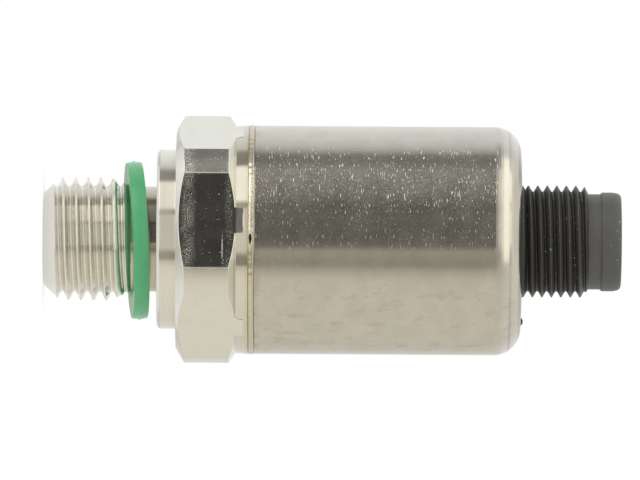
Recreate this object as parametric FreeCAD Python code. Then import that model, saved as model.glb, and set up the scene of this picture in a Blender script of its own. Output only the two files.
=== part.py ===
import FreeCAD, Part
import math
import os

# Pressure transmitter with a G 1/4 process thread and an M12 plug, in millimetres.
# +Z runs along its axis, from the process thread to the plug. The origin is the centre of
# the collar's face, which seats on the port that the transmitter is screwed into.
# Both threads are plain cylinders over their crests, with their true chamfers and reliefs.

# Process fitting: turned from stainless bar, with a hexagon to drive it by
thread_diameter = 13.03        # G 1/4, over the crests
stud_length = 12.0             # thread's end to the collar's face
stud_chamfer = 1.67
neck_diameter = 11.1           # relief that the seal hangs on
neck_length = 3.6
neck_cone = 0.8                # run-out from thread to neck
port_diameter = 3.5            # pressure bore
port_chamfer = 0.4
collar_diameter = 18.9
collar_height = 2.0
collar_chamfer = 0.3
recess_depth = 1.0             # groove in the collar's face that takes the tightened seal
hex_across_flats = 24.0
hex_corner_rise = 1.025        # the corners are turned down to this height over the flats
hex_height = 6.25
hex_front_drop = 0.53          # inner edge of the front chamfer, below the flats
hex_front_angle = 30.0
hex_rear_angle = 35.0
hex_runout = 0.86              # how far each flat runs on into the weld collar
weld_collar_height = 1.35
register_height = 2.8          # spigot that centres the can
register_chamfer = 0.4
cell_boss_height = 0.8         # raised weld seat under the sensor cell

# Profile seal: a moulded ring, loose on the neck until the fitting is tightened
seal_diameter = 16.6
seal_thickness = 1.6
seal_level = -2.2              # its centre
seal_crown = 0.08
seal_edge = 0.12
seal_inner_chamfer = 0.35
seal_tilt = 5.0                # degrees that it hangs askew
seal_lean = 130.0              # direction that its axis leans to, from +X
seal_drop = 0.15
seal_drop_direction = 9.7

# Housing can: deep-drawn, welded all round to the weld collar
can_over_flats = 0.025         # its surface over the hexagon's flats
can_wall = 0.8
can_length = 28.7              # weld collar to end face
can_end_radius = 2.8           # outside
weld_width = 0.63
weld_crown = 0.06              # bead over the can's surface
weld_undercut = 0.05           # bead's edges under it

# Vent plug: lets air to the back of the diaphragm
vent_diameter = 0.9
vent_proud = 0.25
vent_stem_diameter = 0.66
vent_tail = 0.4                # stem below the can's end
vent_barb = 0.08
vent_inset = 0.65              # its centre to where the can's end starts to curve

# Sensor cell with its strain chip
cell_flange_diameter = 11.2
cell_flange_height = 1.0
cell_body_diameter = 9.2
cell_bore_diameter = 6.4
cell_height = 5.0
diaphragm_thickness = 0.45
cell_corner_radius = 0.6
chip_side = 3.2
chip_height = 0.25

# Circuit boards and what they carry
board_thickness = 1.0
solder_room = 4.0              # from the second board to the plug's flange
board_rise = 0.4               # first board's top over the cell's top
board_overlap = 0.7            # width of board edge that is clamped
pin_row_pitch = 2.54
pin_row_count = 4
link_pin_diameter = 0.6
link_pin_tail = 0.7            # out of each board
strip_width = 2.4
strip_thickness = 0.12
strip_hump = 1.0
strip_landing = 2.0            # length soldered to the board
part_margin = 0.6              # from the sleeve's inside to what stands on a board
amplifier_size = (3.5, 3.5, 0.9)
regulator_size = (4.5, 2.5, 1.5)
capacitor_size = (1.25, 2.0, 1.25)
capacitor_angles = (45.0, 128.0, 232.0, 315.0)
diode_size = (4.3, 2.6, 2.2)
spring_width = 2.0
spring_thickness = 0.2
spring_foot = 2.2
spring_height = 2.8

# Moulded support ring and spacer sleeve
support_floor = 1.6
support_wall = 1.8
support_window_width = 5.0
support_window_count = 3
sleeve_wall = 1.35
sleeve_notch_width = 3.2

# Connector body: the moulded M12 plug
plug_thread_diameter = 11.8    # M12 x 1, over the crests
plug_thread_length = 7.1
plug_thread_chamfer = 0.45
plug_neck_land = 0.2           # neck over the thread, in the can's hole
flange_height = 3.1
flange_underside_recess = 0.6
flange_underside_wall = 1.2
nose_length = 3.45
nose_neck_diameter = 10.05
nose_neck_length = 1.25
nose_head_diameter = 10.42
nose_head_length = 1.15
nose_tip_diameter = 10.2
nose_step = 0.2
nose_rounding = 0.35
socket_diameter = 8.6
socket_depth = 9.0
socket_chamfer = 0.25
key_width = 1.5
key_height = 0.75

# Contact pins and the connector's O-ring
contact_diameter = 1.0
contact_circle = 5.0
contact_count = 4
contact_recess = 1.2           # below the nose's end
contact_collar_diameter = 1.5
contact_collar_length = 0.6
contact_collar_height = 2.0    # above the flange's underside
contact_tail_diameter = 0.7
contact_tail_proud = 0.8       # out of the second board
ring_section = 1.4

# Clearances, all radial
seal_play = 0.3                # seal over neck
recess_play = 0.3              # seal in its groove
register_play = 0.05           # spigot in can
cell_play = 0.4                # cell in the support and in the board
support_play = 0.25            # support ring and sleeve in can
board_play = 0.1               # board in its seat
pin_hole_play = 0.08           # pins in boards
moulding_play = 0.02           # pins in the plug, plug in the can's hole
ring_play = 0.05               # O-ring in its groove
pocket_play = 0.15             # vent plug's barb in its pocket
spring_play = 0.05             # spring tip to the can
weld_land = 0.05               # weld collar over can

# Sizes that follow
thread_r = thread_diameter / 2
neck_r = neck_diameter / 2
port_r = port_diameter / 2
collar_r = collar_diameter / 2
hex_flat_r = hex_across_flats / 2
hex_corner_r = hex_flat_r + hex_corner_rise
hex_front_r = hex_flat_r - hex_front_drop
can_r = hex_flat_r + can_over_flats
can_inner_r = can_r - can_wall
can_end_inner_radius = can_end_radius - can_wall
can_flat_r = can_r - can_end_radius
weld_collar_r = can_r + weld_land
register_r = can_inner_r - register_play
cell_r = cell_flange_diameter / 2
cell_body_r = cell_body_diameter / 2
cell_opening_r = cell_body_r + cell_play    # in the first board
seal_r = seal_diameter / 2
recess_r = seal_r + recess_play
sleeve_r = can_inner_r - support_play
seat_r = sleeve_r - sleeve_wall          # inside of the sleeve below its ledge
board_r = seat_r + board_overlap
plug_thread_r = plug_thread_diameter / 2
plug_neck_r = plug_thread_r + plug_neck_land
can_hole_r = plug_neck_r + moulding_play
ring_r = plug_neck_r + ring_play + ring_section / 2
groove_r = ring_r + ring_section / 2 + ring_play
vent_offset = can_flat_r - vent_inset
contact_r = contact_diameter / 2
link_pin_r = link_pin_diameter / 2

# Levels along the axis
hex_level = collar_height
hex_top = hex_level + hex_height
weld_level = hex_top + weld_collar_height
shoulder_level = weld_level + register_height
cell_level = shoulder_level + cell_boss_height
cell_top = cell_level + cell_height
amplifier_top = cell_top + board_rise
amplifier_level = amplifier_top - board_thickness
can_end = weld_level + can_length
flange_top = can_end - can_wall
flange_level = flange_top - flange_height
thread_end = can_end + plug_thread_length
nose_end = thread_end + nose_length
socket_floor = nose_end - socket_depth
terminal_top = flange_level - solder_room
terminal_level = terminal_top - board_thickness


def outline(start, *steps):
    """Closed wire in the XZ plane. A step is (x, z) for a line, or (x, z of a point on the
    way, x, z of the end) for an arc."""
    def at(x, z):
        return FreeCAD.Vector(x, 0, z)

    edges = []
    here = at(*start)
    for step in steps + (start,):
        there = at(*step[-2:])
        if len(step) == 4:
            edges.append(Part.Arc(here, at(*step[:2]), there).toShape())
        elif here.distanceToPoint(there) > 1e-7:
            edges.append(Part.makeLine(here, there))
        here = there
    return Part.Wire(edges)


def turned(start, *steps):
    """Solid of revolution about Z of an outline in (radius, z)."""
    face = Part.Face(outline(start, *steps))
    return face.revolve(FreeCAD.Vector(), FreeCAD.Vector(0, 0, 1), 360)


def strip(width, start, *steps):
    """Outline in (x, z) given a width along Y, centred on the XZ plane."""
    face = Part.Face(outline(start, *steps))
    face.translate(FreeCAD.Vector(0, -width / 2, 0))
    return face.extrude(FreeCAD.Vector(0, width, 0))


def rod(radius, low, high, x=0.0, y=0.0):
    return Part.makeCylinder(radius, high - low, FreeCAD.Vector(x, y, low))


def block(size, low, x=0.0, y=0.0):
    """Box of size (x, y, z) standing at height low, centred on x, y."""
    return Part.makeBox(*size, FreeCAD.Vector(x - size[0] / 2, y - size[1] / 2, low))


def turned_to(shape, angle):
    """Copy of a shape swung about the axis."""
    copy = shape.copy()
    copy.rotate(FreeCAD.Vector(), FreeCAD.Vector(0, 0, 1), angle)
    return copy


def on_arc(centre_x, centre_z, radius, angle):
    angle = math.radians(angle)
    return centre_x + radius * math.cos(angle), centre_z + radius * math.sin(angle)


def inboard(width, depth):
    """How far out the centre of a part goes, with its outer corners clear of the sleeve."""
    return math.sqrt((seat_r - part_margin) ** 2 - (width / 2) ** 2) - depth / 2


def contact_places():
    """Centres of the contacts: the first is half a pitch from the key, which is on +X."""
    pitch = 360 / contact_count
    return [on_arc(0, 0, contact_circle / 2, pitch * (i + 0.5)) for i in range(contact_count)]


def link_places():
    row = pin_row_pitch * (pin_row_count - 1)
    offset = inboard(row + link_pin_diameter, link_pin_diameter)
    return [(-offset, pin_row_pitch * i - row / 2) for i in range(pin_row_count)]


def process_fitting():
    front_rise = (hex_corner_r - hex_front_r) * math.tan(math.radians(hex_front_angle))
    rear_drop = (hex_corner_r - weld_collar_r) * math.tan(math.radians(hex_rear_angle))
    body = turned(
        (port_r + port_chamfer, -stud_length),
        (thread_r - stud_chamfer, -stud_length),
        (thread_r, -stud_length + stud_chamfer),
        (thread_r, -neck_length - neck_cone),
        (neck_r, -neck_length),
        (neck_r, recess_depth),
        (recess_r, recess_depth),
        (recess_r, 0),
        (collar_r - collar_chamfer, 0),
        (collar_r, collar_chamfer),
        (collar_r, hex_level),
        (hex_front_r, hex_level),
        (hex_corner_r, hex_level + front_rise),
        (hex_corner_r, hex_top - rear_drop),
        (weld_collar_r, hex_top),
        (weld_collar_r, weld_level),
        (register_r, weld_level),
        (register_r, shoulder_level - register_chamfer),
        (register_r - register_chamfer, shoulder_level),
        (cell_r, shoulder_level),
        (cell_r, cell_level),
        (port_r, cell_level),
        (port_r, -stud_length + port_chamfer),
    )
    # the flats are milled a little way on into the weld collar
    flats_end = hex_top + hex_runout
    corner = hex_flat_r / math.cos(math.radians(30))
    corners = [FreeCAD.Vector(*on_arc(0, 0, corner, 60 * i), hex_level) for i in range(7)]
    prism = Part.Face(Part.makePolygon(corners)).extrude(
        FreeCAD.Vector(0, 0, flats_end - hex_level))
    outside = rod(2 * hex_corner_r, hex_level, flats_end).cut(prism)
    return body.cut(outside)


def profile_seal():
    inner = neck_r + seal_play
    half = seal_thickness / 2
    side = seal_r - seal_crown
    ring = turned(
        (inner, -half + seal_inner_chamfer),
        (inner + seal_inner_chamfer, -half),
        (side - seal_edge, -half),
        (side, -half + seal_edge),
        (seal_r, 0, side, half - seal_edge),
        (side - seal_edge, half),
        (inner + seal_inner_chamfer, half),
        (inner, half - seal_inner_chamfer),
    )
    lean = math.radians(seal_lean + 90)
    ring.rotate(FreeCAD.Vector(), FreeCAD.Vector(math.cos(lean), math.sin(lean), 0), seal_tilt)
    ring.translate(FreeCAD.Vector(*on_arc(0, 0, seal_drop, seal_drop_direction), seal_level))
    return ring


def housing_can():
    bead_top = weld_level + weld_width
    shell = turned(
        (can_inner_r, weld_level),
        (can_r - weld_undercut, weld_level),
        (can_r + weld_crown, weld_level + weld_width / 3),
        (can_r + weld_crown, bead_top - weld_width / 3),
        (can_r - weld_undercut, bead_top),
        (can_r, bead_top + weld_undercut),
        (can_r, can_end - can_end_radius),
        (*on_arc(can_flat_r, can_end - can_end_radius, can_end_radius, 45), can_flat_r, can_end),
        (can_hole_r, can_end),
        (can_hole_r, flange_top),
        (can_flat_r, flange_top),
        (*on_arc(can_flat_r, can_end - can_end_radius, can_end_inner_radius, 45),
         can_inner_r, can_end - can_end_radius),
    )
    stem_hole = rod(vent_stem_diameter / 2 + moulding_play, flange_top, can_end, vent_offset)
    return shell.cut(stem_hole)


def vent_plug():
    head = vent_diameter / 2
    stem = vent_stem_diameter / 2
    dome_r = (head ** 2 + vent_proud ** 2) / (2 * vent_proud)
    dome_centre = can_end + vent_proud - dome_r
    half_way = 90 - math.degrees(math.asin(head / dome_r)) / 2
    plug = turned(
        (0, flange_top - vent_tail),
        (stem, flange_top - vent_tail),
        (stem + vent_barb, flange_top - vent_barb),
        (stem, flange_top),
        (stem, can_end),
        (head, can_end),
        (*on_arc(0, dome_centre, dome_r, half_way), 0, can_end + vent_proud),
    )
    plug.translate(FreeCAD.Vector(vent_offset, 0, 0))
    return plug


def sensor_cell():
    bore = cell_bore_diameter / 2
    under = cell_top - diaphragm_thickness
    return turned(
        (bore, cell_level),
        (cell_r, cell_level),
        (cell_r, cell_level + cell_flange_height),
        (cell_body_r, cell_level + cell_flange_height),
        (cell_body_r, cell_top),
        (0, cell_top),
        (0, under),
        (bore - cell_corner_radius, under),
        (*on_arc(bore - cell_corner_radius, under - cell_corner_radius, cell_corner_radius, 45),
         bore, under - cell_corner_radius),
    )


def strain_chip():
    return block((chip_side, chip_side, chip_height), cell_top)


def flex_strip():
    """Strip from the chip, over a hump that takes up strain, to a landing on the board."""
    low = cell_top + chip_height
    edge = chip_side / 2
    board_edge = cell_opening_r
    middle = (edge + board_edge) / 2
    top = amplifier_top + strip_hump
    return strip(
        strip_width,
        (edge / 3, low),
        (edge, low),
        (middle, top, board_edge, amplifier_top),
        (board_edge + strip_landing, amplifier_top),
        (board_edge + strip_landing, amplifier_top + strip_thickness),
        (board_edge, amplifier_top + strip_thickness),
        (middle, top + strip_thickness, edge, low + strip_thickness),
        (edge / 3, low + strip_thickness),
    )


def board_support():
    """Cup-shaped ring on the fitting's shoulder, with windows in its wall and a lip that
    centres the board."""
    inner = cell_r + cell_play
    wall_r = sleeve_r - support_wall
    lip_r = board_r + board_play
    lip = amplifier_level + 0.7 * board_thickness
    ring = turned(
        (inner, shoulder_level),
        (sleeve_r, shoulder_level),
        (sleeve_r, lip),
        (lip_r, lip),
        (lip_r, amplifier_level),
        (wall_r, amplifier_level),
        (wall_r, shoulder_level + support_floor),
        (inner, shoulder_level + support_floor),
    )
    floor = shoulder_level + support_floor
    window_size = (2 * sleeve_r, support_window_width, (amplifier_level - floor) / 2)
    window = block(window_size, floor, x=sleeve_r + inner)
    for i in range(support_window_count):
        ring = ring.cut(turned_to(window, 60 + 360 / support_window_count * i))
    return ring


def drilled_board(level, places, hole_r):
    board = rod(board_r, level, level + board_thickness)
    for x, y in places:
        board = board.cut(rod(hole_r, level, level + board_thickness, x, y))
    return board


def amplifier_board():
    board = drilled_board(amplifier_level, link_places(), link_pin_r + pin_hole_play)
    return board.cut(rod(cell_opening_r, amplifier_level, amplifier_top))


def terminal_board():
    board = drilled_board(terminal_level, link_places(), link_pin_r + pin_hole_play)
    for x, y in contact_places():
        hole_r = contact_tail_diameter / 2 + pin_hole_play
        board = board.cut(rod(hole_r, terminal_level, terminal_top, x, y))
    return board


def amplifier_chip():
    return block(amplifier_size, amplifier_top, y=inboard(*amplifier_size[:2]))


def regulator_chip():
    return block(regulator_size, amplifier_top, y=-inboard(*regulator_size[:2]))


def ceramic_capacitors():
    width, depth, height = capacitor_size
    capacitor = block((depth, width, height), amplifier_top, x=inboard(width, depth))
    return Part.makeCompound([turned_to(capacitor, angle) for angle in capacitor_angles])


def surge_diodes():
    offset = inboard(*diode_size[:2])
    return Part.makeCompound([block(diode_size, terminal_top, y=offset),
                              block(diode_size, terminal_top, y=-offset)])


def link_pins():
    low = amplifier_level - link_pin_tail
    high = terminal_top + link_pin_tail
    return Part.makeCompound([rod(link_pin_r, low, high, x, y) for x, y in link_places()])


def spacer_sleeve():
    """Sleeve between the first board and the plug's flange. Its ledge carries the second
    board, and its notch lets the spring through to the can."""
    sleeve = turned(
        (seat_r, amplifier_top),
        (sleeve_r, amplifier_top),
        (sleeve_r, flange_level),
        (board_r + board_play, flange_level),
        (board_r + board_play, terminal_level),
        (seat_r, terminal_level),
    )
    notch_size = (2 * sleeve_wall, sleeve_notch_width, flange_level - terminal_top)
    return sleeve.cut(block(notch_size, terminal_top, x=sleeve_r))


def earth_spring():
    """Leaf soldered to the second board, bent up and out until it bears on the can."""
    touch = can_inner_r - spring_play
    bend = board_r - spring_thickness
    knee = terminal_top + 0.6 * spring_height
    tip = terminal_top + spring_height
    inside = spring_thickness
    middle = (bend + touch) / 2
    return strip(
        spring_width,
        (bend - spring_foot, terminal_top),
        (bend, terminal_top),
        (middle + inside, (terminal_top + knee) / 2 - inside, touch, knee),
        (touch - 2 * inside, tip),
        (touch - 3 * inside, tip),
        (touch - inside, knee),
        (middle, (terminal_top + knee) / 2, bend, terminal_top + inside),
        (bend - spring_foot, terminal_top + inside),
    )


def connector_body():
    """Moulded plug: flange with an O-ring groove, neck through the can's end, thread,
    stepped nose, and a keyed socket round the contacts."""
    flange_r = sleeve_r - board_play
    groove_level = flange_top - ring_section
    socket_r = socket_diameter / 2
    neck_start = thread_end + nose_neck_length
    tip_r = nose_tip_diameter / 2
    underside_r = flange_r - flange_underside_wall
    body = turned(
        (0, flange_level + flange_underside_recess),
        (underside_r, flange_level + flange_underside_recess),
        (underside_r, flange_level),
        (flange_r, flange_level),
        (flange_r, flange_top - (flange_r - can_flat_r)),
        (can_flat_r, flange_top),
        (groove_r, flange_top),
        (groove_r, groove_level),
        (plug_neck_r, groove_level),
        (plug_neck_r, can_end),
        (plug_thread_r, can_end),
        (plug_thread_r, thread_end - plug_thread_chamfer),
        (nose_neck_diameter / 2, thread_end),
        (nose_neck_diameter / 2, neck_start),
        (nose_head_diameter / 2, neck_start + nose_step),
        (nose_head_diameter / 2, neck_start + nose_head_length),
        (tip_r, neck_start + nose_head_length + nose_step),
        (tip_r, nose_end - nose_rounding),
        (*on_arc(tip_r - nose_rounding, nose_end - nose_rounding, nose_rounding, 45),
         tip_r - nose_rounding, nose_end),
        (socket_r + socket_chamfer, nose_end),
        (socket_r, nose_end - socket_chamfer),
        (socket_r, socket_floor),
        (0, socket_floor),
    )
    key_size = (key_height + key_width, key_width, nose_end - contact_recess - socket_floor)
    key = block(key_size, socket_floor, x=socket_r + key_width / 2 - key_height / 2)
    body = body.fuse(key.common(rod(socket_r, socket_floor, nose_end))).removeSplitter()
    for x, y in contact_places():
        collar = flange_level + contact_collar_height
        body = body.cut(rod(contact_r + moulding_play, flange_level, socket_floor, x, y))
        body = body.cut(rod(contact_collar_diameter / 2 + moulding_play,
                            collar, collar + contact_collar_length, x, y))
    # air reaches the vent through a pocket under the can's end and a drilling to the inside
    pocket_r = vent_stem_diameter / 2 + vent_barb + pocket_play
    pocket = rod(pocket_r, flange_top - 2 * vent_tail, flange_top, vent_offset)
    drilling = rod(vent_stem_diameter / 2, flange_level, flange_top, vent_offset)
    return body.cut(pocket).cut(drilling)


def contact_pin(x, y):
    """Turned pin: rounded tip, retaining collar inside the moulding, thin tail to the board."""
    collar = flange_level + contact_collar_height
    tail_r = contact_tail_diameter / 2
    shoulder = flange_level
    tip = nose_end - contact_recess
    pin = turned(
        (0, terminal_level - contact_tail_proud),
        (tail_r, terminal_level - contact_tail_proud),
        (tail_r, shoulder),
        (contact_r, shoulder),
        (contact_r, collar),
        (contact_collar_diameter / 2, collar),
        (contact_collar_diameter / 2, collar + contact_collar_length),
        (contact_r, collar + contact_collar_length),
        (contact_r, tip - contact_r),
        (*on_arc(0, tip - contact_r, contact_r, 45), 0, tip),
    )
    pin.translate(FreeCAD.Vector(x, y, 0))
    return pin


def connector_seal():
    return Part.makeTorus(ring_r, ring_section / 2,
                          FreeCAD.Vector(0, 0, flange_top - ring_section / 2))


nodes = {
    "process_fitting": process_fitting(),
    "profile_seal": profile_seal(),
    "housing_can": housing_can(),
    "vent_plug": vent_plug(),
    "sensor_cell": sensor_cell(),
    "strain_chip": strain_chip(),
    "flex_strip": flex_strip(),
    "board_support": board_support(),
    "amplifier_board": amplifier_board(),
    "amplifier_chip": amplifier_chip(),
    "regulator_chip": regulator_chip(),
    "ceramic_capacitors": ceramic_capacitors(),
    "link_pins": link_pins(),
    "spacer_sleeve": spacer_sleeve(),
    "terminal_board": terminal_board(),
    "surge_diodes": surge_diodes(),
    "earth_spring": earth_spring(),
    "connector_body": connector_body(),
    "connector_seal": connector_seal(),
}
for i, place in enumerate(contact_places()):
    nodes[f"contact_pin_{i + 1}"] = contact_pin(*place)

os.makedirs("parts", exist_ok=True)
for name, shape in nodes.items():
    shape.exportStep(f"parts/{name}.step")
    print(f"{name}: {len(shape.Solids)} solid, {shape.Volume:.2f} mm3, valid {shape.isValid()}")
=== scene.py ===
import math

import bmesh
import bpy
import numpy as np
from mathutils import Matrix, Vector


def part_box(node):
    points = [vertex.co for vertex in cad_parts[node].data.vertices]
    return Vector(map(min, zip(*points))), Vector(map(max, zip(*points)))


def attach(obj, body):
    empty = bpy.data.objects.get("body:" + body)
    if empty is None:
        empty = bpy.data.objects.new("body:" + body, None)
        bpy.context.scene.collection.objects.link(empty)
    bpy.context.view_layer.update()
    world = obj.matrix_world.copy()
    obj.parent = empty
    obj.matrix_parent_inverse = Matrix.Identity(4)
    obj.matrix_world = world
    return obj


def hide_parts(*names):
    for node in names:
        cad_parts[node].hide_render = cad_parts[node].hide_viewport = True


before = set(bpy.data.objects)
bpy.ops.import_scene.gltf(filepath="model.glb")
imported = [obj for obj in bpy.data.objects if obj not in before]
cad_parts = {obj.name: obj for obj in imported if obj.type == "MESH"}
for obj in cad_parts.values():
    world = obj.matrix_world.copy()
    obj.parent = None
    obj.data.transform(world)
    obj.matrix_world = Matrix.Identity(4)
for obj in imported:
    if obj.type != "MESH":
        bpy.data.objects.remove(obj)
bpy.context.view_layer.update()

# A pressure transmitter, standing on its process thread with its axis on Z. Sizes are in
# millimetres, radii are measured from the axis, and levels from the collar's sealing face.


# --- Process fitting ---------------------------------------------------------------------
# One piece turned from stainless hexagon bar: G 1/4 stud, relief neck, sealing collar,
# wrench flats, and the weld collar with its spigot. A pressure bore runs through it.

def profile(angles, *corners):
    """Corners (radius, level) of a turned outline. Each is one number for the whole turn, or one
    for every column."""
    return np.stack([np.stack(np.broadcast_arrays(r, z, angles)[:2], -1) for r, z in corners])


def filleted(corners, size, steps=4):
    """Outline with its inner corners rounded off. An edge broken at corner C runs from S to E, both
    `size` away from it, along (1 - t)^2 S + 2 t (1 - t) C + t^2 E."""
    before, here, after = corners[:-2], corners[1:-1], corners[2:]

    def towards(end):
        run = end - here
        length = np.maximum(np.linalg.norm(run, axis=-1, keepdims=True), 1e-9)
        return here + run * np.minimum(size / length, 0.45)

    t = np.linspace(0, 1, steps)[:, None, None, None]
    arcs = (1 - t) ** 2 * towards(before) + 2 * t * (1 - t) * here + t ** 2 * towards(after)
    arcs = arcs.swapaxes(0, 1).reshape(-1, *here.shape[1:])
    return np.concatenate([corners[:1], arcs, corners[-1:]])


def spun(outline, angles):
    """Points of a turned surface: (radius cos a, radius sin a, level), for each row of the outline
    and each angle a."""
    radius, level = outline[..., 0], outline[..., 1]
    return np.stack([radius * np.cos(angles), radius * np.sin(angles), level + 0 * angles], -1)


def faces_between(rows, columns, rise=0):
    """Corner numbers of a grid's faces. It closes round on itself, the last column meeting the first
    one `rise` rows further on, as a thread does after one turn."""
    k, j = (a.ravel() for a in np.meshgrid(np.arange(rows - 1), np.arange(columns), indexing="ij"))
    step = np.where(j + 1 == columns, rise, 0)
    beside = (j + 1) % columns
    faces = np.stack([k * columns + j, (k + step) * columns + beside,
                      (k + step + 1) * columns + beside, (k + 1) * columns + j], 1)
    return faces[k + step + 1 < rows]


def grid(points, rise=0):
    """Points (row, column, xyz) with the faces between them."""
    rows, columns = points.shape[:2]
    return points.reshape(-1, 3), faces_between(rows, columns, rise)


def thread_section(pitch, flank, crest, root, steps=6):
    """One pitch of a rounded thread: distance along the axis from the crest, and depth under it. The
    crest and the root are arcs of those radii, and straight flanks at `flank` degrees join them."""
    turn = math.radians(90 - flank)
    a = np.linspace(-turn, turn, steps)
    straight = pitch / 2 - (crest + root) * math.sin(turn)
    drop = straight / math.tan(math.radians(flank))
    deep = drop + (crest + root) * (1 - math.cos(turn))
    t = np.linspace(0, 1, 6)[1:-1]
    flank_along = crest * math.sin(turn) + straight * t
    flank_depth = crest * (1 - math.cos(turn)) + drop * t
    along = np.concatenate([crest * np.sin(a), flank_along,
                            pitch / 2 + root * np.sin(a), pitch - flank_along[::-1]])
    depth = np.concatenate([crest * (1 - np.cos(a)), flank_depth,
                            deep - root * (1 - np.cos(a)), flank_depth[::-1]])
    return along, depth


def thread(angles, low, high, crest_level, pitch, section, shaped):
    """Right-hand thread from level low to high, as a grid that climbs with the helix: its rows follow
    level = crest + pitch (turns + angle / 2 pi) + the section's own distance, held between the two
    ends, and shaped(depth, level) gives the radius."""
    along, depth = section
    turns = math.ceil((high - low) / pitch) + 3
    start = crest_level - pitch * (math.ceil((crest_level - low) / pitch) + 1)
    rows = (start + along + pitch * np.arange(turns)[:, None]).ravel()
    level = np.clip(rows[:, None] + pitch * angles / (2 * math.pi), low, high)
    radius = shaped(np.tile(depth, turns)[:, None], level)
    return grid(spun(np.stack([radius, level], -1), angles), rise=len(along))


def even_normals(mesh):
    """Smooth shading that keeps flats flat: a point's normal is the sum of its faces' normals, each
    times the face's area."""
    normals = np.empty((len(mesh.polygons), 3))
    areas = np.empty(len(mesh.polygons))
    sides = np.empty(len(mesh.polygons), np.int32)
    corners = np.empty(len(mesh.loops), np.int32)
    mesh.polygons.foreach_get("normal", normals.ravel())
    mesh.polygons.foreach_get("area", areas)
    mesh.polygons.foreach_get("loop_total", sides)
    mesh.loops.foreach_get("vertex_index", corners)
    sums = np.zeros((len(mesh.vertices), 3))
    np.add.at(sums, corners, np.repeat(normals * areas[:, None] * 1e6, sides, axis=0))
    sums /= np.linalg.norm(sums, axis=1, keepdims=True)
    mesh.normals_split_custom_set_from_vertices(sums.tolist())


def solid(name, parts, finishes, slot_name, *nodes):
    """Closed mesh of several grids, in metres, with the points that they share merged. Each part is
    (points, faces, number of its finish, or one number for every face)."""
    starts = np.cumsum([0] + [len(points) for points, _, _ in parts])
    points = np.concatenate([points for points, _, _ in parts]) / 1000
    faces = np.concatenate([corners + start for (_, corners, _), start in zip(parts, starts)])
    mesh = bpy.data.meshes.new(name)
    mesh.from_pydata(points.tolist(), [], faces.tolist())
    mesh.polygons.foreach_set("material_index", np.concatenate(
        [np.broadcast_to(np.int32(number), len(corners)) for _, corners, number in parts]))
    shell = bmesh.new()
    shell.from_mesh(mesh)
    bmesh.ops.remove_doubles(shell, verts=shell.verts, dist=4e-7)
    bmesh.ops.dissolve_degenerate(shell, edges=shell.edges, dist=1e-8)
    shell.to_mesh(mesh)
    shell.free()
    even_normals(mesh)
    for material in finishes:
        mesh.materials.append(material)
    piece = bpy.data.objects.new(name, mesh)
    bpy.context.scene.collection.objects.link(piece)
    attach(piece, "root")
    if nodes:
        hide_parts(*nodes)


class Flow:
    """One output of a finish's nodes. Sums, products and powers of values add Math nodes, so a
    formula is written as it reads; node() adds any other node."""

    def __init__(self, tree, socket):
        self.tree, self.socket = tree, socket

    def node(self, kind, settings=None, sockets=None, out=0):
        made = self.tree.nodes.new(kind)
        for key, value in (settings or {}).items():
            if key == "stops":
                stops = made.color_ramp.elements
                stops[0].position, stops[0].color = value[0]
                stops[1].position, stops[1].color = value[-1]
                for position, colour in value[1:-1]:
                    stops.new(position).color = colour
            else:
                setattr(made, key, value)
        for key, value in (sockets or {}).items():
            if isinstance(value, Flow):
                self.tree.links.new(value.socket, made.inputs[key])
            else:
                made.inputs[key].default_value = value
        return Flow(self.tree, made.outputs[out])

    def math(self, operation, *others):
        """Math node on this value and the others."""
        return self.node("ShaderNodeMath", {"operation": operation}, dict(enumerate([self, *others])))

    def __add__(self, other):
        return self.math("ADD", other)

    def __sub__(self, other):
        return self.math("SUBTRACT", other)

    def __mul__(self, other):
        return self.math("MULTIPLY", other)

    def __truediv__(self, other):
        return self.math("DIVIDE", other)

    def __pow__(self, other):
        return self.math("POWER", other)

    def __rsub__(self, other):
        return self * -1 + other

    def __abs__(self):
        return self.math("ABSOLUTE")

    __radd__, __rmul__ = __add__, __mul__

    def ramp(self, low, high, start=0.0, end=1.0):
        """Soft step from start to end as this value goes from low to high."""
        return self.node("ShaderNodeMapRange", {"interpolation_type": "SMOOTHSTEP"}, {
            "Value": self, "From Min": low, "From Max": high, "To Min": start, "To Max": end})

    def near(self, centre, reach):
        """1 at centre, falling to 0 at a distance of reach."""
        return abs(self - centre).ramp(0, reach, 1, 0)

    def colour(self, first, second):
        """Colour first where this value is 0, second where it is 1."""
        return self.node("ShaderNodeMix", {"data_type": "RGBA"}, {0: self, 6: first, 7: second}, out=2)

    def grain(self, *per_mm, detail=2.0, seed=0.0):
        """Noise from 0 to 1, with that many cells to a millimetre along x, y and z."""
        scaled = self.node("ShaderNodeMapping", {}, {
            "Vector": self, "Scale": [1000 * n for n in per_mm], "Location": [seed, seed, seed]})
        return scaled.node("ShaderNodeTexNoise", {}, {"Vector": scaled, "Scale": 1.0, "Detail": detail})

    def xyz(self):
        """The three numbers of a place, in millimetres."""
        split = self.node("ShaderNodeSeparateXYZ", {}, {"Vector": self}).socket.node
        return [Flow(self.tree, number) * 1000 for number in split.outputs]

    def turned(self):
        """A place's distance from the axis and its level, in millimetres."""
        x, y, z = self.xyz()
        return (x * x + y * y) ** 0.5, z

    def relief(self, microns):
        """Normal of a surface raised by this value, by so many thousandths of a millimetre."""
        return self.node("ShaderNodeBump", {}, {"Height": self, "Distance": microns * 1e-6})


def tone(red, green, blue):
    """Linear colour of a tone given in steps of 0 to 255: ((c + 0.055) / 1.055)^2.4 above the toe."""
    steps = np.array([red, green, blue]) / 255
    return (*np.where(steps > 0.04045, ((steps + 0.055) / 1.055) ** 2.4, steps / 12.92).tolist(), 1.0)


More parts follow.
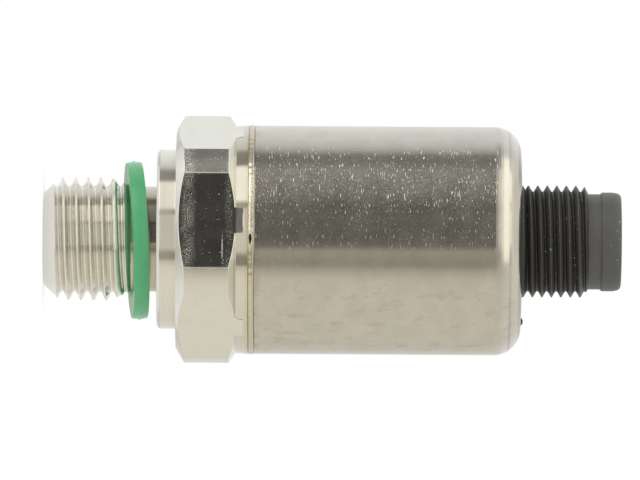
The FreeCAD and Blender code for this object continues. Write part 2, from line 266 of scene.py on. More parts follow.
def finish(name, recipe):
    """Material whose shader sockets get what recipe(place) returns, place being a point's own place
    on the object."""
    material = bpy.data.materials.new(name)
    material.use_nodes = True
    tree = material.node_tree
    shader = tree.nodes["Principled BSDF"]
    place = Flow(tree, tree.nodes.new("ShaderNodeTexCoord").outputs["Object"])
    for key, value in recipe(place).items():
        if isinstance(value, Flow):
            tree.links.new(value.socket, shader.inputs[key])
        else:
            shader.inputs[key].default_value = value
    return material


def tool_marks(place, per_mm, detail, seed=0.0):
    """Noise that runs in rings round the axis, as a turning tool leaves it."""
    radius, level = place.turned()
    rings = place.node("ShaderNodeCombineXYZ", {}, {0: radius / 1000, 1: level / 1000})
    return rings.grain(per_mm, per_mm, per_mm, detail=detail, seed=seed)


def turned_steel(place):
    _, level = place.turned()
    marks = tool_marks(place, 9, detail=3)
    streaks = tool_marks(place, 2.5, detail=1, seed=3)
    heated = level.ramp(9.15, 9.55) * place.grain(0.9, 0.9, 3, seed=5).ramp(0.2, 0.6)
    neck_shade = level.ramp(-2.8, -2.6) * level.ramp(0.1, -0.1)
    by_weld = level.ramp(8.0, 8.2)
    steel = streaks.colour(tone(222, 219, 211), tone(233, 230, 223))
    # painted shade: the neck under the seal is darkened, as the seal and the collar's recess shade it;
    # by the weld the steel is darkened half as much
    steel = (neck_shade + by_weld * 0.5).colour(steel, tone(196, 191, 176))
    return {
        "Base Color": (heated * 0.6).colour(steel, tone(202, 186, 152)),
        "Metallic": 1.0,
        "Roughness": 0.19 + 0.05 * marks - 0.12 * neck_shade - 0.06 * by_weld,
        "Anisotropic": 1.0,
        "Anisotropic Rotation": 0.25,
        "Normal": marks.relief(0.9),
    }


def cut_thread(place):
    marks = tool_marks(place, 12, detail=2, seed=2)
    stain = place.grain(1.2, 1.2, 2.5, detail=2, seed=6)
    return {
        "Base Color": stain.colour(tone(220, 217, 208), tone(232, 230, 223)),
        "Metallic": 1.0,
        "Roughness": 0.09 + 0.04 * marks,
        "Anisotropic": 1.0,
        "Anisotropic Rotation": 0.25,
        "Normal": marks.relief(0.5),
    }


# bearing, in degrees from +X, of the side by which the part was clamped and handled
grip = 189.7


def towards_grip(place):
    """Distance from the axis towards the grip side, in millimetres."""
    x, y, _ = place.xyz()
    return x * math.cos(math.radians(grip)) + y * math.sin(math.radians(grip))


def milled_steel(place):
    x, y, z = place.xyz()
    radius, _ = place.turned()
    film = place.grain(0.5, 0.5, 0.5, detail=3, seed=1)
    dust = place.grain(11, 11, 11, detail=2, seed=7).ramp(0.50, 0.66) * film.ramp(0.1, 0.6)
    dust = dust * (z.near(3.3, 1.1) + 0.5 * z.near(7.6, 0.7))
    specks = place.grain(6, 6, 6, detail=0, seed=4).ramp(0.78, 0.82)
    # the corners are left from the round bar, and a wrench has left a short broken mark on one flat
    corners = radius.ramp(12.93, 12.98)
    nick = z.near(6.94, 0.13) * towards_grip(place).near(-0.9, 2.4) * y.ramp(-10, -11)
    nick = nick * place.grain(2, 2, 2, seed=6).ramp(0.35, 0.5)
    # the edges between flats and corners keep a fine burr, 22.85 degrees from a flat's middle
    sixths = y.math("ARCTAN2", x) * (3 / math.pi) + 6.0
    from_middle = abs(sixths.math("FRACT") * 60 - 30)
    burr = from_middle.near(22.85, 0.3)
    rough = 0.09 + 0.04 * film + 0.4 * dust + 0.6 * specks
    rough = rough + 0.25 * nick + 0.3 * burr + 0.05 * corners + 0.07 * z.ramp(8.2, 8.5)
    steel = film.colour(tone(220, 219, 212), tone(230, 229, 223))
    return {
        "Base Color": (0.5 * specks).colour(steel, tone(245, 244, 240)),
        "Metallic": 1.0,
        "Roughness": rough,
        "Normal": place.grain(0.35, 0.35, 0.35, detail=1).relief(1.5),
    }


stud_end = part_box("process_fitting")[0].z * 1000
stud_crest, stud_pitch, stud_tip, port, neck = 6.515, 1.337, 4.845, 1.75, 5.55
thread_low, runout_low, runout_high, thread_high = stud_end + 0.7, -5.05, -2.75, -2.7
collar, recess, recess_depth, hex_face = 9.45, 8.6, 1.0, 11.47
flat, corner, weld_collar, spigot, boss = 12.0, 13.025, 12.075, 11.175, 5.6
hex_foot, hex_top, flats_end, can_seat, spigot_end, boss_end = 2.0, 8.25, 9.11, 9.6, 12.4, 13.2

# columns of the grid: even all round, closer where the flats meet the corners and the collar
beside_flat = np.array([6.2, 6.39, 22.63, 22.76, 22.88, 23.0, 23.13])
edges = 30 + 60 * np.arange(6)[:, None] + np.concatenate([-beside_flat, beside_flat])
fitting_angles = np.concatenate([np.arange(0, 360, 1.5), edges.ravel()])
fitting_angles = np.radians(np.unique(np.round(fitting_angles, 3)))

# distance to the flats, meeting the corners' radius in an edge 0.03 mm across
reach = flat / np.cos(fitting_angles % (math.pi / 3) - math.pi / 6)
ease = np.maximum(0.024 - np.abs(reach - corner), 0) / 0.024
hexagon = np.minimum(reach, corner) - ease ** 2 * 0.006
in_collar = hexagon < weld_collar - 1e-4
rise = math.tan(math.radians(30))
fall = math.tan(math.radians(35))
taper = np.where(in_collar, 0.04, 0.1)
taper_foot = np.where(in_collar, flats_end, hex_top + 0.1 * fall)

stud = profile(
    fitting_angles, (port, 0), (port, stud_end + 0.4), (port + 0.4, stud_end), (stud_tip, stud_end),
    (stud_tip + 0.7, thread_low))
shoulder = profile(
    fitting_angles, (neck, thread_high), (neck, recess_depth), (recess, recess_depth), (recess, 0),
    (collar - 0.3, 0), (collar, 0.3), (collar, hex_foot), (hex_face, hex_foot),
    (hexagon, hex_foot + (hexagon - hex_face) * rise),
    (hexagon, np.where(in_collar, flats_end, hex_top - (hexagon - weld_collar) * fall)),
    (weld_collar - taper, taper_foot), (weld_collar, can_seat), (spigot, can_seat),
    (spigot, spigot_end - 0.4), (spigot - 0.4, spigot_end), (boss, spigot_end), (boss, boss_end),
    (port, boss_end), (port, 0))


def stud_shape(depth, level):
    """The thread's section, cut off by the tip's 45 degree chamfer and by the run-out cone."""
    chamfer_end = stud_end + stud_crest - stud_tip
    outline = np.interp(level, [stud_end, chamfer_end, runout_low, runout_high, 0],
                        [stud_tip, stud_crest, stud_crest, neck, neck])
    return np.minimum(stud_crest - depth, outline)


stud_thread = thread(
    fitting_angles, thread_low, thread_high, -10.0 - stud_pitch * grip / 360, stud_pitch,
    thread_section(stud_pitch, 27.5, 0.1, 0.184), stud_shape)
rounded = filleted(shoulder, 0.05)
between_chamfers = rounded[..., 0].mean(axis=1) > 12.3
milled = np.repeat(between_chamfers[:-1] & between_chamfers[1:], len(fitting_angles))
solid(
    "steel_fitting",
    [(*grid(spun(filleted(stud, 0.06), fitting_angles)), 0),
     (*stud_thread, 2),
     (*grid(spun(rounded, fitting_angles)), milled)],
    [finish("turned_steel", turned_steel), finish("milled_steel", milled_steel),
     finish("cut_thread", cut_thread)],
    "fitting_steel", "process_fitting")


# --- Profile seal ------------------------------------------------------------------------
# Moulded ring of green fluoro rubber, loose on the neck until the fitting is tightened, so it
# hangs a few degrees askew. The mould leaves a fine flash line with two small nubs.

def green_rubber(place):
    bloom = place.grain(0.5, 0.5, 0.5, detail=3)
    fine = place.grain(6, 6, 6, detail=2, seed=4)
    return {
        "Base Color": bloom.colour(tone(88, 180, 129), tone(99, 191, 142)),
        "Roughness": 0.20 + 0.06 * fine,
        "Subsurface Weight": 0.3,
        "Subsurface Radius": (0.4, 1.0, 0.6),
        "Subsurface Scale": 0.001,
        "Normal": fine.relief(0.6),
    }


seal_angles = np.radians(np.arange(0, 360, 1.5))
seal_inner, seal_outer, half, bevel = 5.85, 8.3, 0.8, 0.35
crown = [(8.22, half), (8.22, half - 0.12), (8.27, 0.4), (8.292, 0.12), (seal_outer, 0.03)]
below = [(radius, -level) for radius, level in crown]
seal_outline = filleted(profile(
    seal_angles, (seal_inner, 0), (seal_inner, bevel - half), (seal_inner + bevel, -half), *below,
    *crown[::-1], (seal_inner + bevel, half), (seal_inner, half - bevel), (seal_inner, 0)), 0.08)
# flash nubs stand out of the rim at the mould's parting line:
# 0.1 exp(-(angle / 1.5 deg)^2 - (level / 0.12)^2)
on_rim = seal_outline[..., 0] > 8.2
from_line = seal_outline[..., 1] / 0.12
for nub in (grip - 180, grip):
    off = ((np.degrees(seal_angles) - nub + 180) % 360 - 180) / 1.5
    seal_outline[..., 0] += on_rim * 0.1 * np.exp(-off ** 2 - from_line ** 2)
# it has dropped on the neck and is tilted, turned about a level axis through its middle
seal_place, tilt, tilt_axis = [0.148, 0.025, -2.2], math.radians(5), math.radians(130 + 90)
axis = np.array([math.cos(tilt_axis), math.sin(tilt_axis), 0])
ring = spun(seal_outline, seal_angles)
ring = (ring * math.cos(tilt) + np.cross(axis, ring) * math.sin(tilt)
        + (ring @ axis)[..., None] * axis * (1 - math.cos(tilt))) + seal_place
solid(
    "green_seal", [(*grid(ring), 0)], [finish("green_rubber", green_rubber)],
    "seal_rubber", "profile_seal")


# --- Housing can -------------------------------------------------------------------------
# Deep-drawn stainless can with a rolled end, butted on the fitting and welded all round. The
# bead is rippled, and the heat has browned the steel beside it.

can_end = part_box("housing_can")[1].z * 1000
can, can_wall, roll, can_hole = 12.025, 0.8, 2.8, 6.12
bead_top, pit_level, pit_bearing = can_seat + 0.63, can_seat + 0.25, 279.3


def drawn_steel(place):
    _, y, z = place.xyz()
    along = towards_grip(place)
    cloud = place.grain(0.35, 0.35, 0.5, detail=4, seed=8)
    patches = place.grain(2.2, 2.2, 2.2, detail=2, seed=11).ramp(0.30, 0.70)
    # short scuffs run round the can where it was held, their lighter colour partly painted glint, and
    # it is smudged opposite them
    held = along.ramp(-2, 8, 0.12, 1) * along.ramp(10.1, 9.2)
    pores = place.grain(12, 12, 12, detail=0, seed=12).ramp(0.40, 0.70)
    pores = pores * (0.4 + 0.6 * patches) * (0.2 + 0.6 * held)
    held = held * z.ramp(can_end - 1.6, can_end - 2.6) * z.ramp(bead_top, bead_top + 0.3)
    scuffs = place.grain(1.5, 1.5, 10, detail=0, seed=6).ramp(0.74, 0.77) * held
    scuffs_and_glints = scuffs + 0.3 * place.grain(4, 4, 11, detail=0, seed=15).ramp(0.73, 0.79) * held
    stains = place.grain(1.0, 1.0, 0.5, detail=3, seed=9).ramp(0.56, 0.66) * along.ramp(-3, -6)
    # weld: rippled bead with dark edges and painted glints on its ripples, heat tint beside it, and a
    # dark pit where it was ended
    bead = z.ramp(9.62, 9.68) * z.ramp(bead_top, bead_top - 0.06)
    scale = place.grain(5, 5, 5, detail=2, seed=2)
    rippled = along.ramp(0.2, 1.2) * along.ramp(9.4, 8.4)
    edge = z.near(can_seat, 0.08) + z.near(bead_top + 0.02, 0.07)
    heat = z.ramp(bead_top + 1.0, bead_top) * place.grain(0.6, 0.6, 1.2, seed=5).ramp(0.3, 0.7)
    # the pit where the weld was ended is darkened
    across, down = (z - pit_level) / (0.14 + 0.09 * along), (along - 0.05) / 0.6
    dark_pit = (across * across + down * down).ramp(1.2, 0.8) * y.ramp(-11, -11.5)
    steel = cloud.ramp(0.35, 0.65).colour(tone(197, 194, 187), tone(203, 200, 193))
    steel = (stains * 0.2).colour(steel, tone(160, 150, 124))
    # scuffs painted lighter: partly their own colour, partly painted glints
    steel = (scuffs_and_glints * 0.9).colour(steel, tone(232, 230, 224))
    steel = (heat * 0.5).colour(steel, tone(178, 160, 128))
    # painted glints: the ripples' high spots are lighter, partly the weld scale's own colour
    weld = (scale.ramp(0.35, 0.65) * rippled).colour(tone(204, 197, 178), tone(236, 232, 219))
    steel = bead.colour(steel, weld)
    steel = (edge * 0.8).colour(steel, tone(92, 82, 58))
    return {
        "Base Color": dark_pit.colour(steel, tone(46, 38, 26)),
        "Metallic": 0.96 - 0.8 * dark_pit - 0.4 * scuffs,
        "Roughness": 0.14 + 0.04 * cloud + (0.10 * pores + 0.7 * scuffs_and_glints) * (1 - bead) + 0.1 * bead,
        "Normal": (scale * bead * rippled).relief(14),
    }


def rolled(radius, bows):
    """Corners of the end roll, an arc of that radius about the roll's centre."""
    return [(can - roll + radius * math.cos(a), can_end - roll + radius * math.sin(a)) for a in bows]


can_angles = np.radians(np.arange(0, 360, 0.75))
bows = np.radians(np.linspace(6, 84, 14))
# ripples of the bead, and the crater where the weld was ended
wave = 0.02 * (np.sin(can_angles * 83) * np.sin(can_angles * 7) - 1)
crater = 0.22 * np.exp(-((np.degrees(can_angles) - pit_bearing) / 1.7) ** 2)
body = profile(
    can_angles, (can - can_wall, 20), (can - can_wall, can_seat), (can - 0.05, can_seat),
    (can - 0.01 + wave, can_seat + 0.07), (can + 0.03 + wave - crater / 2, can_seat + 0.16),
    (can + 0.05 + wave - crater, pit_level), (can + 0.06 + wave, can_seat + 0.42),
    (can + 0.03, bead_top - 0.08), (can - 0.05, bead_top - 0.01), (can, bead_top + 0.05), (can, 14),
    (can, 20), (can, 28), (can, can_end - roll), *rolled(roll, bows), (can - roll, can_end),
    (can_hole, can_end), (can_hole, can_end - can_wall), (can - roll, can_end - can_wall),
    *rolled(roll - can_wall, bows[::-1]), (can - can_wall, can_end - roll), (can - can_wall, 20))
solid(
    "steel_can", [(*grid(spun(filleted(body, 0.03, 3), can_angles)), 0)],
    [finish("drawn_steel", drawn_steel)], "can_steel", "housing_can")


# --- Vent plug ---------------------------------------------------------------------------
# Small nub of black rubber snapped into the can's end. It lets air in behind the diaphragm
# and keeps water out.

def black_rubber(place):
    fine = place.grain(8, 8, 8)
    return {"Base Color": fine.colour(tone(30, 30, 29), tone(44, 44, 42)),
            "Roughness": 0.45 + 0.2 * fine, "Normal": fine.relief(3)}


def dress(node, material):
    """Gives a CAD node its finish."""
    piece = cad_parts[node]
    piece.data.materials.clear()
    piece.data.materials.append(material)


dress("vent_plug", finish("vent_rubber", black_rubber))


# --- Connector body ----------------------------------------------------------------------
# M12 plug moulded in black glass-filled nylon: a flange inside the can, the coupling thread,
# a stepped nose, and a socket with its coding key round the four contacts.

def black_nylon(place):
    radius, level = place.turned()
    # painted shade: the thread's roots below the nose are darkened
    root = radius.ramp(5.62, 5.32) * level.ramp(45.4, 45.2)
    fine = place.grain(14, 14, 14, detail=2)
    worn = place.grain(0.5, 0.5, 0.9, detail=3, seed=3)
    dust = place.grain(4.2, 4.2, 4.2, detail=0, seed=5).ramp(0.80, 0.83)
    on_nose = level.ramp(45.2, 45.6)
    plain = worn.colour(tone(56, 56, 55), tone(66, 66, 65))
    plain = root.colour(plain, tone(30, 30, 30))
    plain = (on_nose * 0.8).colour(plain, tone(85, 86, 88))
    return {
        "Base Color": dust.colour(plain, tone(150, 150, 147)),
        "Roughness": 0.38 + 0.10 * worn + 0.06 * fine,
        "Normal": fine.relief(3),
    }


flange_low, flange_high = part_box("connector_body")[0].z * 1000, can_end - can_wall
nose_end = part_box("connector_body")[1].z * 1000
plug_crest, plug_pitch, plug_neck, nose, nose_foot = 5.9, 1.0, 6.1, 5.025, 45.45
flange, flange_wall, can_flat, groove, groove_depth = 10.875, 1.2, can - roll, 7.6, 1.4
socket, socket_floor, key_end, key_face, key_half = 4.3, 39.85, 47.65, 3.55, 0.75
key_edges = np.array([10.05, 6.03])
plug_angles = np.concatenate([np.arange(0, 360, 1.5), key_edges, 360 - key_edges])
plug_angles = np.radians(np.unique(np.round(plug_angles, 3)))


def plug_shape(depth, level):
    """The thread's section, filled up to a plain land by the can and run out below the nose."""
    land = plug_crest - np.maximum(level - can_end - 0.2, 0) * 1.75
    run_out = np.interp(level, [can_end, 44.95, 45.4, 46], [plug_crest, plug_crest, nose, nose])
    return np.minimum(np.maximum(plug_crest - depth, land), run_out)


def socket_outline(angles, level):
    """Round socket wall, led in over the key: two sides parallel to X and a flat face, whose corners
    are at 0.6 of the key's half width in angle."""
    across = ((np.degrees(angles) + 180) % 360 - 180) / key_edges[0]
    off = np.abs(across)
    x = np.where(off < 1, np.interp(off, [0, 0.6, 1], [key_face, key_face, 4.234]),
                 socket * np.cos(angles))
    y = np.where(off < 1, np.sign(across) * np.interp(off, [0, 0.6, 1], [0, key_half, key_half]),
                 socket * np.sin(angles))
    return np.stack([x, y, level + 0 * angles], -1)


lower = profile(
    plug_angles, (0, flange_low + 0.6), (flange - flange_wall, flange_low + 0.6),
    (flange - flange_wall, flange_low), (flange, flange_low),
    (flange, flange_high - (flange - can_flat)), (can_flat, flange_high), (groove, flange_high),
    (groove, flange_high - groove_depth), (plug_neck, flange_high - groove_depth),
    (plug_neck, can_end), (plug_crest, can_end))
upper = profile(
    plug_angles, (nose, nose_foot), (nose, 46.65), (5.21, 46.85), (5.21, 47.8), (5.18, 48.15),
    (5.11, 48.5), (4.98, 48.72), (4.75, nose_end), (4.55, nose_end), (socket, 48.6), (socket, key_end))
mouth, centre = spun(profile(plug_angles, (socket, key_end), (0, socket_floor)), plug_angles)
cavity = np.stack([mouth, socket_outline(plug_angles, key_end),
                   socket_outline(plug_angles, socket_floor), centre])
plug_thread = thread(
    plug_angles, can_end, nose_foot, 40.08 - plug_pitch * grip / 360, plug_pitch,
    thread_section(plug_pitch, 30, 0.08, 0.15), plug_shape)
solid(
    "connector_moulding",
    [(*grid(spun(filleted(lower, 0.04), plug_angles)), 0),
     (*plug_thread, 0),
     (*grid(spun(filleted(upper, 0.06), plug_angles)), 0),
     (*grid(cavity), 0)],
    [finish("black_nylon", black_nylon)], "plug_plastic", "connector_body")


# --- Contacts ----------------------------------------------------------------------------
# Four turned brass pins, gold over nickel, moulded into the plug. Their tips stand free in the
# socket, and their tails are soldered to the terminal board.

def gold_plate(place):
    fine = place.grain(3, 3, 12)
    return {"Base Color": fine.colour(tone(226, 178, 92), tone(238, 196, 112)), "Metallic": 1.0,
            "Roughness": 0.2 + 0.12 * fine, "Normal": fine.relief(0.6)}


gold = finish("gold_plate", gold_plate)
for number in range(1, 5):
    dress(f"contact_pin_{number}", gold)


# --- Connector seal ----------------------------------------------------------------------
# O-ring of black nitrile rubber in the groove of the plug's flange. The can's end squeezes it,
# and it keeps water out of the electronics.

def ring_nitrile(place):
    fine = place.grain(5, 5, 5)
    return {"Base Color": fine.colour(tone(22, 22, 22), tone(34, 34, 34)),
            "Roughness": 0.5 + 0.15 * fine, "Normal": fine.relief(2)}


dress("connector_seal", finish("ring_nitrile", ring_nitrile))


# --- Sensor cell -------------------------------------------------------------------------
# Machined steel cup whose thin top is the diaphragm, a silicon strain chip bonded on it, and
# the polyimide strip that carries the chip's signal to the board.

def ground_steel(place):
    marks = tool_marks(place, 12, detail=2)
    return {"Base Color": marks.colour(tone(205, 203, 198), tone(222, 220, 214)), "Metallic": 1.0,
            "Roughness": 0.25 + 0.12 * marks, "Normal": marks.relief(0.8)}


def strain_silicon(place):
    x, y, _ = place.xyz()
    tracks = (x * 9).math("SINE") * (y * 9).math("SINE")
    return {"Base Color": tracks.ramp(0.2, 0.3).colour(tone(74, 78, 92), tone(176, 160, 120)),
            "Metallic": 0.3, "Roughness": 0.2 + 0.1 * place.grain(6, 6, 6)}


def polyimide(place):
    _, y, _ = place.xyz()
    conductors = (y * 13).math("SINE").ramp(0.3, 0.5)
    return {"Base Color": conductors.colour(tone(176, 98, 30), tone(204, 138, 66)),
            "Roughness": 0.3 + 0.1 * place.grain(4, 4, 4), "Coat Weight": 0.3}


dress("sensor_cell", finish("ground_steel", ground_steel))
dress("strain_chip", finish("strain_silicon", strain_silicon))
dress("flex_strip", finish("polyimide", polyimide))


# --- Support ring and spacer sleeve ------------------------------------------------------
# Two mouldings in natural PBT, stacked on the fitting inside the can. They hold the boards and
# the plug's flange apart.

def natural_moulding(place):
    cloud = place.grain(0.4, 0.4, 0.4, detail=3)
    fine = place.grain(9, 9, 9)
    return {"Base Color": cloud.colour(tone(198, 192, 176), tone(214, 209, 196)),
            "Roughness": 0.45 + 0.15 * fine, "Normal": fine.relief(4)}


moulding = finish("natural_moulding", natural_moulding)
dress("board_support", moulding)
dress("spacer_sleeve", moulding)


# --- Circuit boards ----------------------------------------------------------------------
# Glass-epoxy boards with green solder mask: the ring-shaped amplifier board sits round the
# cell, and the plug's pins are soldered to the round terminal board.

def board_laminate(place):
    x, y, _ = place.xyz()
    weave = (x * 12).math("SINE") * (y * 12).math("SINE")
    tracks = place.grain(0.9, 0.9, 0.2, detail=0, seed=4).ramp(0.5, 0.54)
    mask = tracks.colour(tone(18, 84, 48), tone(34, 112, 66))
    return {"Base Color": (weave.ramp(-1, 1) * 0.15).colour(mask, tone(90, 130, 84)),
            "Roughness": 0.3 + 0.1 * weave.ramp(-1, 1), "Normal": (tracks + weave * 0.2).relief(12)}


laminate = finish("board_laminate", board_laminate)
dress("amplifier_board", laminate)
dress("terminal_board", laminate)


# --- Parts on the boards -----------------------------------------------------------------
# Moulded chips and diodes, ceramic capacitors with tinned ends, and the row of tinned pins
# that joins the two boards.

def chip_epoxy(place):
    fine = place.grain(10, 10, 10)
    return {"Base Color": fine.colour(tone(28, 28, 30), tone(46, 46, 48)),
            "Roughness": 0.55 + 0.15 * fine, "Normal": fine.relief(5)}


def capacitor_ceramic(place):
    fine = place.grain(5, 5, 5)
    return {"Base Color": fine.colour(tone(150, 120, 88), tone(168, 138, 104)),
            "Roughness": 0.4 + 0.15 * fine, "Normal": fine.relief(3)}


def tinned_pins(place):
    fine = place.grain(4, 4, 4)
    return {"Base Color": fine.colour(tone(196, 194, 188), tone(214, 212, 206)), "Metallic": 1.0,
            "Roughness": 0.28 + 0.15 * fine, "Normal": fine.relief(1)}


epoxy = finish("chip_epoxy", chip_epoxy)
for node in ("amplifier_chip", "regulator_chip", "surge_diodes"):
    dress(node, epoxy)
dress("ceramic_capacitors", finish("capacitor_ceramic", capacitor_ceramic))
dress("link_pins", finish("tinned_pins", tinned_pins))


# --- Earth spring ------------------------------------------------------------------------
# Leaf of tin bronze, blanked and bent. It is soldered to the terminal board, and its free end
# bears on the can.

def spring_bronze(place):
    brushed = place.grain(2, 14, 2)
    return {"Base Color": brushed.colour(tone(196, 150, 96), tone(212, 168, 114)), "Metallic": 1.0,
            "Roughness": 0.3 + 0.12 * brushed, "Normal": brushed.relief(0.8)}


dress("earth_spring", finish("spring_bronze", spring_bronze))


# --- Studio ------------------------------------------------------------------------------
# A round table of matt white under the stud, soft panels of light round the object, and a
# camera level with its middle. The camera is rolled so that the axis lies level, plug to the right.

view_bearing, camera_roll = math.radians(grip + 90), math.radians(0.36)
# level directions: from the axis to the camera, and from the axis to the grip side
towards = Vector((math.cos(view_bearing), math.sin(view_bearing), 0))
beside = Vector((math.sin(view_bearing), -math.cos(view_bearing), 0))

table_angles = np.linspace(0, 2 * math.pi, 128, endpoint=False)
table_rim = spun(profile(table_angles, (22, stud_end - 0.002)), table_angles)[0] / 1000
table_mesh = bpy.data.meshes.new("table")
table_mesh.from_pydata(table_rim.tolist(), [], [list(range(len(table_rim)))])
table = bpy.data.objects.new("table", table_mesh)
bpy.context.scene.collection.objects.link(table)

table_paint = bpy.data.materials.new("table_paint")
table_paint.use_nodes = True
tree = table_paint.node_tree
place = Flow(tree, tree.nodes.new("ShaderNodeTexCoord").outputs["Object"])


def backdrop_rays(flow):
    """Whether a ray comes straight from the camera, and whether it was mirrored or went through."""
    straight, glossy, through = [flow.node("ShaderNodeLightPath", out=i) for i in (0, 3, 6)]
    return straight, glossy.math("MAXIMUM", through)


straight, mirrored = backdrop_rays(place)
fade = place.turned()[0].ramp(4.5, 8.5, 0.7, 1)
matt = place.node("ShaderNodeBsdfDiffuse", {}, {"Color": tone(235, 235, 233)})
glow = place.node("ShaderNodeEmission", {}, {"Color": (1, 1, 1, 1), "Strength": 1.0})
mixed = place.node("ShaderNodeMixShader", {}, {
    0: straight.math("MAXIMUM", mirrored) * fade, 1: matt, 2: glow})
tree.links.new(mixed.socket, tree.nodes["Material Output"].inputs["Surface"])
table_mesh.materials.append(table_paint)

# The light from each direction is laid out by the facet that mirrors it towards the camera:
# `facing` is how far round the axis that facet looks, in degrees from the camera's side, and
# `lean` the sine of its lean towards the plug.
world = bpy.data.worlds.new("studio")
world.use_nodes = True
bpy.context.scene.world = world
tree = world.node_tree
direction = Flow(tree, tree.nodes.new("ShaderNodeTexCoord").outputs["Generated"])
facet = direction.node("ShaderNodeVectorMath", {"operation": "ADD"}, {0: direction, 1: towards})
facet = facet.node("ShaderNodeVectorMath", {"operation": "NORMALIZE"}, {0: facet})


def share(axis):
    """How much of the facet's direction lies along a unit vector."""
    return facet.node("ShaderNodeVectorMath", {"operation": "DOT_PRODUCT"}, {0: facet, 1: axis}, out=1)


lean = share(Vector((0, 0, 1)))
facing = share(beside).math("ARCTAN2", share(towards)) * (180 / math.pi)


def panels(*stops):
    """Light by facing: stops of (degrees, linear colour), from -90 on the far side from the grip to
    90 on the grip side."""
    around = (facing + 90) / 180
    return around.node("ShaderNodeValToRGB", {"stops": [
        ((degrees + 90) / 180, (*level, 1.0)) for degrees, level in stops]}, {0: around})


# each is seen by facets at one lean: upright for the can and the flats, stud_* for what looks
# towards the stud, plug_* for what looks towards the plug, and flank for steep faces
upright = panels(
    (-90, (.80, .80, .79)), (-77, (.76, .77, .70)), (-65, (.76, .74, .65)), (-50, (.84, .80, .68)),
    (-25, (.82, .78, .66)), (-20, (.78, .73, .60)), (-15, (.55, .51, .42)), (-12.5, (.31, .29, .25)),
    (-10, (.38, .36, .29)), (-5, (.46, .44, .35)), (-3.5, (.09, .09, .086)), (1, (.027, .027, .026)),
    (17, (.027, .027, .027)), (22, (.055, .055, .054)), (30, (.115, .115, .11)),
    (38, (.21, .205, .185)), (42, (.175, .175, .165)), (48, (.175, .175, .17)),
    (50.5, (.50, .50, .47)), (55, (.80, .80, .76)), (62, (.93, .945, .91)), (73, (1.0, 1.01, 1.0)),
    (84, (.92, .92, .91)), (90, (.80, .80, .79)))
stud_side = panels(
    (-90, (.90, .90, .89)), (-60, (.85, .84, .78)), (-30, (1.0, .98, .86)), (-17, (1.0, .97, .85)),
    (-14, (.75, .72, .62)), (-12, (.30, .28, .25)), (-8.5, (.30, .28, .25)), (-5.5, (1.0, .97, .87)),
    (-2, (1.15, 1.11, 1.0)), (15, (1.15, 1.11, 1.0)), (17, (.6, .57, .51)), (18.5, (.6, .57, .51)),
    (20.5, (1.85, 1.80, 1.65)), (30, (1.75, 1.70, 1.56)), (39, (1.75, 1.70, 1.56)),
    (41, (.34, .34, .30)), (50, (.36, .36, .32)), (52.5, (.8, .8, .78)), (70, (1.05, 1.06, 1.05)),
    (90, (.90, .90, .89)))
stud_far = panels(
    (-90, (.35, .35, .34)), (-68, (.18, .18, .16)), (-45, (.22, .22, .20)), (-30, (.55, .54, .48)),
    (-16, (.85, .82, .72)), (-12, (.5, .48, .42)), (-10, (.08, .08, .07)), (-3.5, (.08, .08, .07)),
    (-1, (1.8, 1.74, 1.6)), (15, (2.1, 2.03, 1.88)), (17, (.5, .48, .44)), (20.5, (.5, .48, .44)),
    (23, (3.0, 2.93, 2.75)), (37, (3.0, 2.93, 2.75)), (40, (.10, .10, .09)), (52, (.08, .08, .08)),
    (60, (.15, .15, .15)), (72, (.30, .31, .31)), (90, (.60, .61, .61)))
stud_tip = panels(
    (-90, (.95, .95, .94)), (-60, (1.0, 1.0, .90)), (-20, (1.02, 1.0, .84)), (5, (1.0, .98, .82)),
    (20, (1.1, 1.09, .97)), (35, (1.0, 1.0, .95)), (50, (.90, .90, .88)), (90, (.95, .95, .94)))
flank = panels(
    (-90, (.74, .74, .72)), (-60, (.69, .68, .62)), (-13, (.66, .64, .55)), (-10, (.40, .38, .33)),
    (-6, (.40, .38, .33)), (-3, (.62, .59, .50)), (15, (.66, .63, .54)), (20, (.96, .92, .84)),
    (34, (.82, .78, .71)), (36.5, (.41, .41, .38)), (45, (.50, .50, .48)), (60, (.75, .75, .74)),
    (90, (.95, .95, .94)))
plug_near = panels(
    (-90, (.80, .80, .79)), (-50, (.84, .80, .68)), (-18, (.76, .72, .62)), (-13, (.62, .58, .50)),
    (-8, (.42, .40, .36)), (-1, (.85, .82, .72)), (16, (.80, .77, .69)), (24, (.95, .91, .80)),
    (38, (.95, .91, .80)), (41, (.40, .40, .37)), (52, (.42, .42, .41)), (62, (.95, .96, .93)),
    (90, (.85, .85, .84)))
plug_side = panels(
    (-90, (.95, .95, .94)), (-60, (.90, .88, .82)), (-30, (.90, .87, .77)), (-12, (.80, .77, .66)),
    (-9, (1.6, 1.52, 1.3)), (46, (1.75, 1.70, 1.5)), (49, (.95, .95, .93)), (70, (1.05, 1.06, 1.05)),
    (90, (.95, .95, .94)))
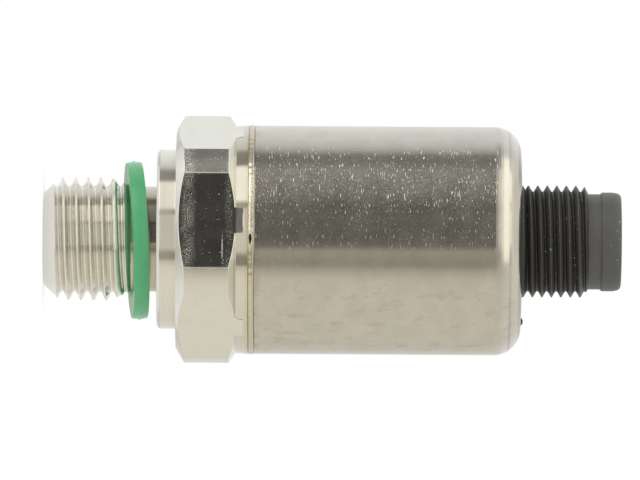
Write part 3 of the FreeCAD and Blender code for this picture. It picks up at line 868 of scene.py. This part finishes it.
plug_far = panels(
    (-90, (.75, .75, .74)), (-60, (.62, .61, .57)), (-40, (.66, .64, .57)), (-14, (.75, .73, .66)),
    (-11, (.55, .53, .48)), (-4, (.55, .53, .48)), (-1, (1.25, 1.21, 1.1)), (16, (1.3, 1.26, 1.14)),
    (18, (.9, .87, .8)), (20, (.9, .87, .8)), (24, (1.6, 1.55, 1.42)), (37, (1.6, 1.55, 1.42)),
    (40, (.75, .75, .72)), (50, (.70, .70, .68)), (56, (.75, .75, .75)), (70, (.82, .83, .83)),
    (90, (.85, .86, .86)))
plug_end = panels(
    (-90, (.95, .95, .94)), (-60, (.90, .89, .83)), (-30, (.92, .90, .80)), (40, (.90, .88, .80)),
    (70, (1.05, 1.06, 1.05)), (90, (.95, .95, .94)))
light = lean.ramp(-.03, -.07).colour(upright, stud_side)
light = lean.ramp(-.34, -.46).colour(light, stud_far)
light = lean.ramp(-.61, -.67).colour(light, stud_tip)
light = lean.ramp(-.73, -.80).colour(light, flank)
light = lean.ramp(.02, .09).colour(light, plug_near)
light = lean.ramp(.14, .40).colour(light, plug_side)
light = lean.ramp(.40, .72).colour(light, plug_end)
light = lean.near(.574, .05).ramp(.1, .5).colour(light, plug_far)
light = lean.ramp(.84, .88).colour(light, flank)

# straight behind the object the backdrop is white, for the camera and for what mirrors it
straight, mirrored = backdrop_rays(direction)
behind = share(towards).ramp(0.06, 0.02)
sky = straight.math("MAXIMUM", behind * mirrored).colour(light, (1, 1, 1, 1))
tree.links.new(sky.socket, tree.nodes["Background"].inputs["Color"])

camera = bpy.data.objects.new("camera", bpy.data.cameras.new("camera"))
bpy.context.scene.collection.objects.link(camera)
bpy.context.scene.camera = camera
away, field, sensor = 1.1, 0.0675, 36
middle, lift = 0.01714, 0.000044
axis_up = Vector((0, 0, 1))
right = axis_up * math.cos(camera_roll) + beside * math.sin(camera_roll)
up = beside * math.cos(camera_roll) - axis_up * math.sin(camera_roll)
spot = axis_up * middle + up * lift + towards * away
camera.matrix_world = Matrix((
    (right.x, up.x, towards.x, spot.x), (right.y, up.y, towards.y, spot.y),
    (right.z, up.z, towards.z, spot.z), (0, 0, 0, 1)))
camera.data.sensor_width = sensor
camera.data.lens = sensor * away / field
camera.data.clip_start, camera.data.clip_end = 0.1, 10
bpy.context.scene.view_settings.view_transform = "Standard"
